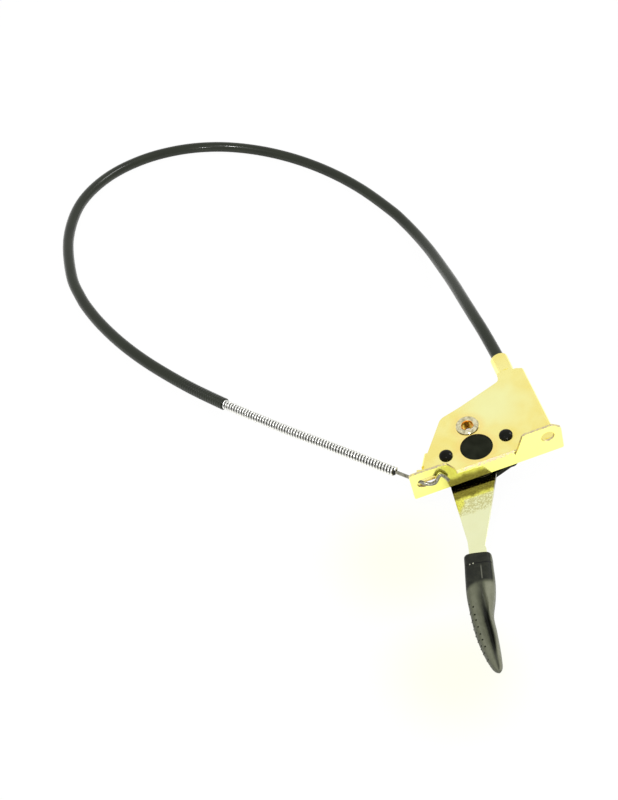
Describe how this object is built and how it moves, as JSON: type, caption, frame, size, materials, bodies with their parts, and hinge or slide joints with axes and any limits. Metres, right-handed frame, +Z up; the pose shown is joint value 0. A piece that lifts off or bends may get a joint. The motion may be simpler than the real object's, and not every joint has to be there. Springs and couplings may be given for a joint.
{
  "type": "throttle cable",
  "caption": "Hand throttle control with a swinging lever and grip on a zinc-plated mounting bracket, and a sheathed cable whose inner wire it pushes and pulls.",
  "frame": {"origin": "on the table under the middle of the control, without its free cable", "axes": "+Z up from the table; +Y from the grip to the cable clamp, along the lever's middle; +X to the right of someone at the grip. The control lies rolled 14 degrees about Y, its left ear low"},
  "size_m": [0.2215, 0.4286, 0.0434],
  "materials": {
    "zinc_yellow": "yellow passivated zinc plate, smooth and shiny",
    "zinc_lever": "yellow passivated zinc plate, mirror smooth",
    "black_moulding": "black satin moulding",
    "black_pin": "black glossy heads",
    "bright_rivet": "worn bright rim over yellow plate",
    "spring_steel": "plain spring steel",
    "grip_black": "black satin moulding with raised dots",
    "conduit_steel": "bright wound spring wire",
    "sheath_black": "black plastic sheath, satin",
    "wire_steel": "plain drawn wire"
  },
  "bodies": {
    "control": {"bracket": "zinc_yellow", "pivot_housing": "black_moulding", "lower_cover": "black_moulding", "left_pin": "black_pin", "right_pin": "black_pin", "hollow_rivet": "bright_rivet", "wave_washer": "spring_steel", "flat_washer": "spring_steel", "clamp_conduit": "conduit_steel", "sheath": "sheath_black", "free_conduit": "conduit_steel", "lever_wire": "wire_steel"},
    "lever": {"lever": "zinc_lever", "grip": "grip_black"},
    "wire": {"wire_end": "wire_steel"}
  },
  "joints": [
    {"name": "lever_swing", "type": "hinge", "parent": "control", "child": "lever", "pos_m": [-0.0018, 0.0292, 0.0255], "axis": [-0.2439, 0, 0.9698], "range_deg": [0, 38], "deforming": ["lever_wire"]},
    {"name": "wire_travel", "type": "slide", "parent": "control", "child": "wire", "axis": [0.6935, -0.7144, 0.093], "range_m": [0, 0.0178]}
  ],
  "couplings": [
    {"joint": "wire_travel", "follows": "lever_swing", "m_per_rad": 0.02683}
  ]
}
